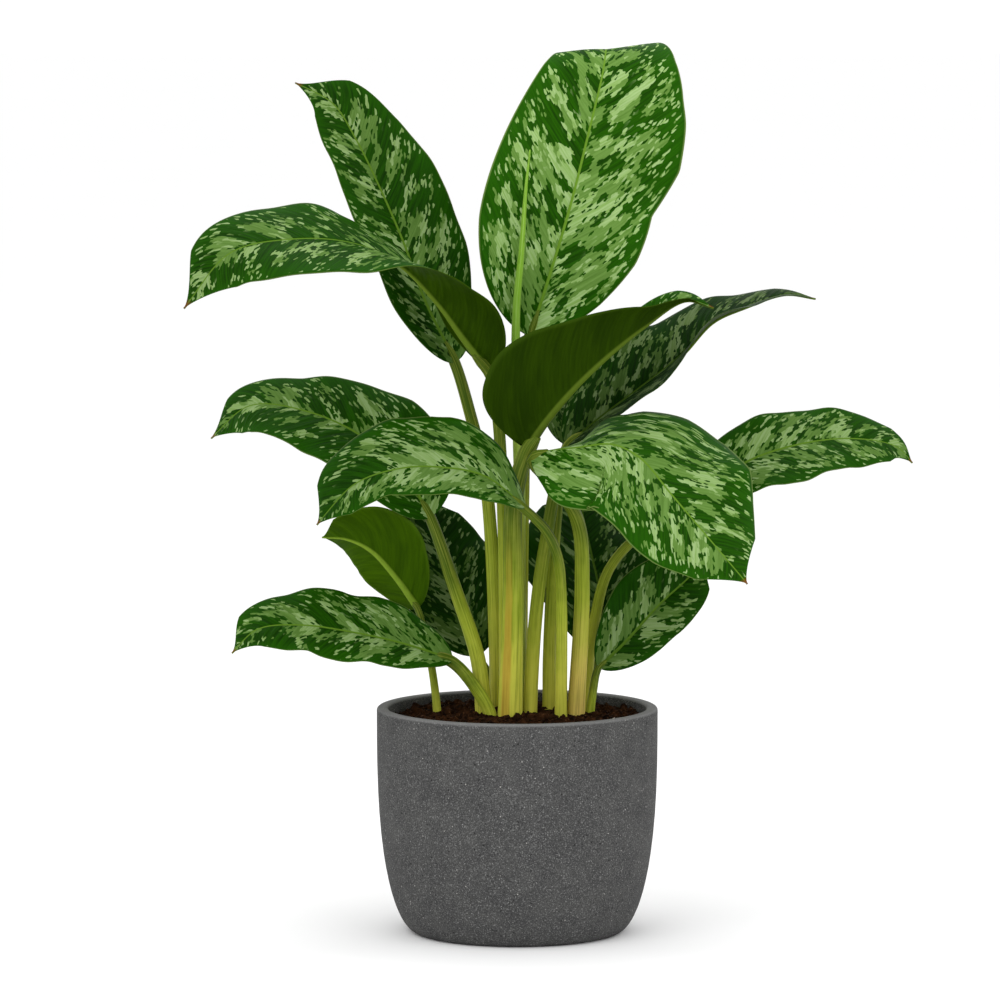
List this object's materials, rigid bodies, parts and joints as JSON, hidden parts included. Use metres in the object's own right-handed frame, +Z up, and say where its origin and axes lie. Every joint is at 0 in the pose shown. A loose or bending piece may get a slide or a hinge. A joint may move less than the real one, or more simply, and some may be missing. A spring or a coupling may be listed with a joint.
{
  "type": "potted aglaonema",
  "caption": "Silver-mottled aglaonema with broad arching leaves on pale stalks, growing in soil in a round dark grey stone-look planter.",
  "frame": {"origin": "Middle of the planter's flat base, on the surface it stands on.", "axes": "+Z up; -Y is the front, the side that the biggest leaves face; +X is to the right seen from the front."},
  "size_m": [0.5181, 0.2936, 0.6308],
  "materials": {
    "pot_stone": "matte",
    "potting_soil": "matte",
    "leaf_blade": "satin",
    "leaf_stalk": "satin",
    "young_leaf": "satin"
  },
  "bodies": {
    "root": {"pot": "pot_stone", "soil": "potting_soil", "crown_back_blade": "leaf_blade", "crown_back_stalk": "leaf_stalk", "crown_left_tall_blade": "leaf_blade", "crown_left_tall_stalk": "leaf_stalk", "crown_left_arch_blade": "leaf_blade", "crown_left_arch_stalk": "leaf_stalk", "crown_front_blade": "leaf_blade", "crown_front_stalk": "leaf_stalk", "crown_right_blade": "leaf_blade", "crown_right_stalk": "leaf_stalk", "inner_back_blade": "leaf_blade", "inner_back_stalk": "leaf_stalk", "mid_left_far_blade": "leaf_blade", "mid_left_far_stalk": "leaf_stalk", "mid_left_near_blade": "leaf_blade", "mid_left_near_stalk": "leaf_stalk", "front_right_blade": "leaf_blade", "front_right_stalk": "leaf_stalk", "right_far_blade": "leaf_blade", "right_far_stalk": "leaf_stalk", "low_right_blade": "leaf_blade", "low_right_stalk": "leaf_stalk", "low_right_back_blade": "leaf_blade", "low_right_back_stalk": "leaf_stalk", "low_left_back_blade": "leaf_blade", "low_left_back_stalk": "leaf_stalk", "low_left_blade": "leaf_blade", "low_left_stalk": "leaf_stalk", "left_back_blade": "leaf_blade", "left_back_stalk": "leaf_stalk", "new_leaf": "young_leaf"}
  },
  "joints": []
}
